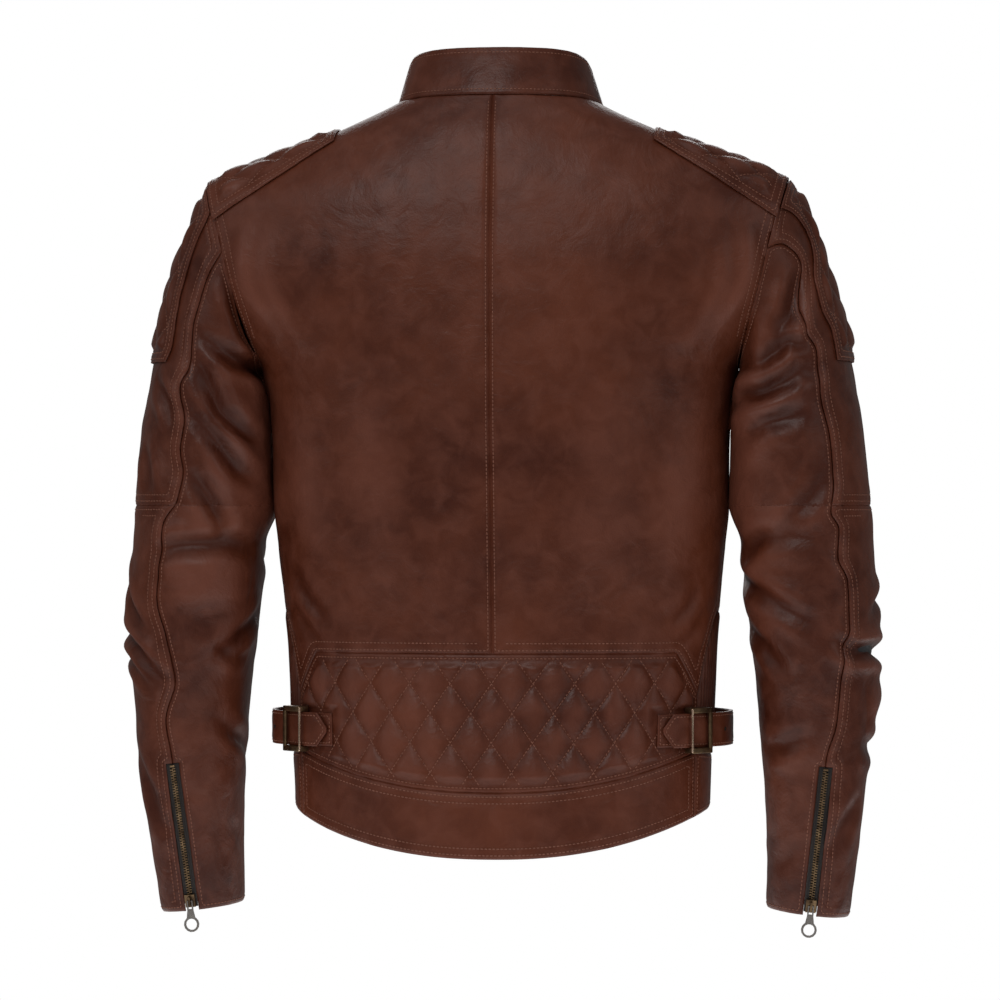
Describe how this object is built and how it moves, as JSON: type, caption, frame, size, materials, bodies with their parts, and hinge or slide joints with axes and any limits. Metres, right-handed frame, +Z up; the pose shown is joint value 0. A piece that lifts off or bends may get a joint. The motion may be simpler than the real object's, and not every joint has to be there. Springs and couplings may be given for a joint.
{
  "type": "leather riding jacket",
  "caption": "Brown leather riding jacket with quilted shoulders and lower back, stand collar, zipped front, pockets and cuffs, buckled waist straps and armour pads.",
  "frame": {"origin": "top of the hanger loop, at the centre back of the neck seam", "axes": "+Z up, +X the wearer's left, -Y the wearer's front"},
  "size_m": [0.6516, 0.2465, 0.7602],
  "materials": {
    "leather": "waxed, softly shining",
    "quilted_leather": "waxed, padded and stitched in diamonds",
    "stretch_leather": "ribbed",
    "lining_cloth": "matt woven",
    "armour_foam": "matt foam",
    "antique_brass": "antiqued",
    "nickel": "worn nickel plate"
  },
  "bodies": {
    "torso": {"lower_back_quilt": "quilted_leather", "back_hem_band": "leather", "collar": "leather", "collar_stud": "antique_brass", "hanger_loop": "lining_cloth", "torso_lining": "lining_cloth", "back_protector": "armour_foam", "front_zip_tape": "lining_cloth", "front_panel_left": "leather", "front_panel_right": "leather", "back_panel_left": "leather", "back_panel_right": "leather", "side_panel_left": "stretch_leather", "side_panel_right": "stretch_leather", "shoulder_quilt_left": "quilted_leather", "shoulder_quilt_right": "quilted_leather", "front_hem_band_left": "leather", "front_hem_band_right": "leather", "pocket_zip_tape_left": "lining_cloth", "pocket_zip_tape_right": "lining_cloth", "strap_chape_left": "leather", "strap_chape_right": "leather", "waist_strap_left": "leather", "waist_strap_right": "leather"},
    "front_slider": {"front_zip_slider": "antique_brass"},
    "front_pull": {"front_zip_pull": "nickel"},
    "collar_tab": {"collar_tab": "leather", "snap_cap": "antique_brass"},
    "upper_arm_left": {"sleeve_cap_quilt_left": "quilted_leather", "sleeve_outer_left": "leather", "sleeve_under_left": "leather", "shoulder_armour_left": "armour_foam", "elbow_crease_left": "stretch_leather"},
    "forearm_left": {"forearm_outer_left": "leather", "forearm_under_left": "leather", "elbow_armour_left": "armour_foam", "cuff_zip_tape_left": "lining_cloth"},
    "cuff_slider_left": {"cuff_zip_slider_left": "antique_brass"},
    "cuff_pull_left": {"cuff_zip_pull_left": "nickel"},
    "pocket_slider_left": {"pocket_zip_slider_left": "antique_brass"},
    "pocket_pull_left": {"pocket_zip_pull_left": "nickel"},
    "buckle_left": {"buckle_frame_left": "antique_brass"},
    "upper_arm_right": {"sleeve_cap_quilt_right": "quilted_leather", "sleeve_outer_right": "leather", "sleeve_under_right": "leather", "shoulder_armour_right": "armour_foam", "elbow_crease_right": "stretch_leather"},
    "forearm_right": {"forearm_outer_right": "leather", "forearm_under_right": "leather", "elbow_armour_right": "armour_foam", "cuff_zip_tape_right": "lining_cloth"},
    "cuff_slider_right": {"cuff_zip_slider_right": "antique_brass"},
    "cuff_pull_right": {"cuff_zip_pull_right": "nickel"},
    "pocket_slider_right": {"pocket_zip_slider_right": "antique_brass"},
    "pocket_pull_right": {"pocket_zip_pull_right": "nickel"},
    "buckle_right": {"buckle_frame_right": "antique_brass"}
  },
  "joints": [
    {"name": "shoulder_swing_left", "type": "hinge", "parent": "torso", "child": "upper_arm_left", "pos_m": [0.2275, -0.072, -0.1525], "axis": [-0.9671, 0, 0.2545], "range_deg": [-15, 60]},
    {"name": "elbow_bend_left", "type": "hinge", "parent": "upper_arm_left", "child": "forearm_left", "pos_m": [0.27, -0.076, -0.395], "axis": [-1, 0, 0], "range_deg": [0, 80], "deforming": ["elbow_crease_left"]},
    {"name": "cuff_zip_slide_left", "type": "slide", "parent": "forearm_left", "child": "cuff_slider_left", "axis": [0.1087, 0.1536, 0.9821], "range_m": [0, 0.112]},
    {"name": "cuff_pull_swing_left", "type": "hinge", "parent": "cuff_slider_left", "child": "cuff_pull_left", "pos_m": [0.26878, -0.04248, -0.69368], "axis": [0.9911, -0.0929, -0.0952], "range_deg": [-9.4, 160]},
    {"name": "pocket_zip_slide_left", "type": "slide", "parent": "torso", "child": "pocket_slider_left", "axis": [-0.1113, -0.0346, 0.9932], "range_m": [-0.109, 0]},
    {"name": "pocket_pull_swing_left", "type": "hinge", "parent": "pocket_slider_left", "child": "pocket_pull_left", "pos_m": [0.13196, -0.16905, -0.44035], "axis": [-0.8668, -0.4855, -0.114], "range_deg": [0, 170]},
    {"name": "buckle_rock_left", "type": "hinge", "parent": "torso", "child": "buckle_left", "pos_m": [0.16995, -0.02694, -0.542], "axis": [0, 0, 1], "range_deg": [-4, 4]},
    {"name": "shoulder_swing_right", "type": "hinge", "parent": "torso", "child": "upper_arm_right", "pos_m": [-0.2275, -0.072, -0.1525], "axis": [-0.9671, 0, -0.2545], "range_deg": [-15, 60]},
    {"name": "elbow_bend_right", "type": "hinge", "parent": "upper_arm_right", "child": "forearm_right", "pos_m": [-0.27, -0.076, -0.395], "axis": [-1, 0, 0], "range_deg": [0, 80], "deforming": ["elbow_crease_right"]},
    {"name": "cuff_zip_slide_right", "type": "slide", "parent": "forearm_right", "child": "cuff_slider_right", "axis": [-0.1087, 0.1536, 0.9821], "range_m": [0, 0.112]},
    {"name": "cuff_pull_swing_right", "type": "hinge", "parent": "cuff_slider_right", "child": "cuff_pull_right", "pos_m": [-0.26878, -0.04248, -0.69368], "axis": [0.9911, 0.0929, 0.0952], "range_deg": [-9.4, 160]},
    {"name": "pocket_zip_slide_right", "type": "slide", "parent": "torso", "child": "pocket_slider_right", "axis": [0.1113, -0.0346, 0.9932], "range_m": [-0.109, 0]},
    {"name": "pocket_pull_swing_right", "type": "hinge", "parent": "pocket_slider_right", "child": "pocket_pull_right", "pos_m": [-0.13196, -0.16905, -0.44035], "axis": [-0.8668, 0.4855, 0.114], "range_deg": [0, 170]},
    {"name": "buckle_rock_right", "type": "hinge", "parent": "torso", "child": "buckle_right", "pos_m": [-0.16995, -0.02694, -0.542], "axis": [0, 0, -1], "range_deg": [-4, 4]},
    {"name": "front_zip_slide", "type": "slide", "parent": "torso", "child": "front_slider", "axis": [0, 0.0615, 0.9981], "range_m": [-0.528, 0]},
    {"name": "front_pull_swing", "type": "hinge", "parent": "front_slider", "child": "front_pull", "pos_m": [0, -0.1697, -0.07205], "axis": [-1, 0, 0], "range_deg": [0, 170]},
    {"name": "collar_tab_open", "type": "hinge", "parent": "torso", "child": "collar_tab", "pos_m": [0.023, -0.16078, -0.04046], "axis": [0, 0.2981, 0.9545], "range_deg": [0, 100]}
  ]
}
